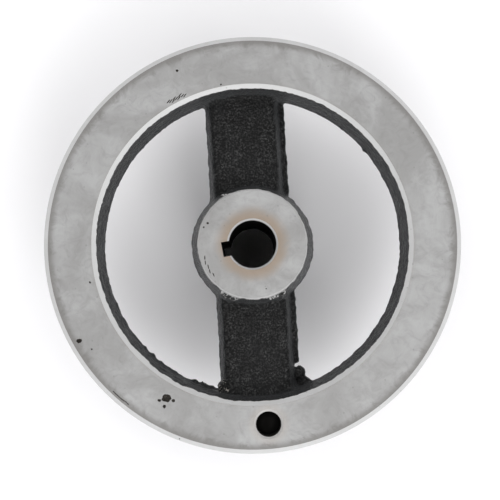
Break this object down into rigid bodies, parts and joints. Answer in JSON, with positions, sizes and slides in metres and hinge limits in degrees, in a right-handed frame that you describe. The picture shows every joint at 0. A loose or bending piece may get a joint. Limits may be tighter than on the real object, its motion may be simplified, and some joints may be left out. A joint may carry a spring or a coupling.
{
  "type": "v belt pulley",
  "caption": "Cast V-belt pulley: grooved rim, opposite arms, long keyed hub held by set screws, tapped hole in the rim face.",
  "frame": {"origin": "on the bore axis, in the parting plane, midway between the rim's two faces", "axes": "+Z along the bore axis, towards the face with the tapped rim hole; the long hub points to -Z; the arms lie near Y"},
  "size_m": [0.14, 0.14, 0.058],
  "materials": {
    "cast_iron": "rim, hub face, bore and groove turned bare; arms, inner rim wall and hub flank rough cast under black paint",
    "black_steel": "black-oxide alloy steel"
  },
  "bodies": {
    "casting": {"pulley_casting": "cast_iron"},
    "key_screw": {"key_set_screw": "black_steel"},
    "shaft_screw": {"shaft_set_screw": "black_steel"}
  },
  "joints": [
    {"name": "key_screw_travel", "type": "slide", "parent": "casting", "child": "key_screw", "axis": [-0.9833, -0.1822, 0], "range_m": [-0.001, 0.004]},
    {"name": "shaft_screw_travel", "type": "slide", "parent": "casting", "child": "shaft_screw", "axis": [0.1822, -0.9833, 0], "range_m": [-0.001, 0.004]}
  ]
}
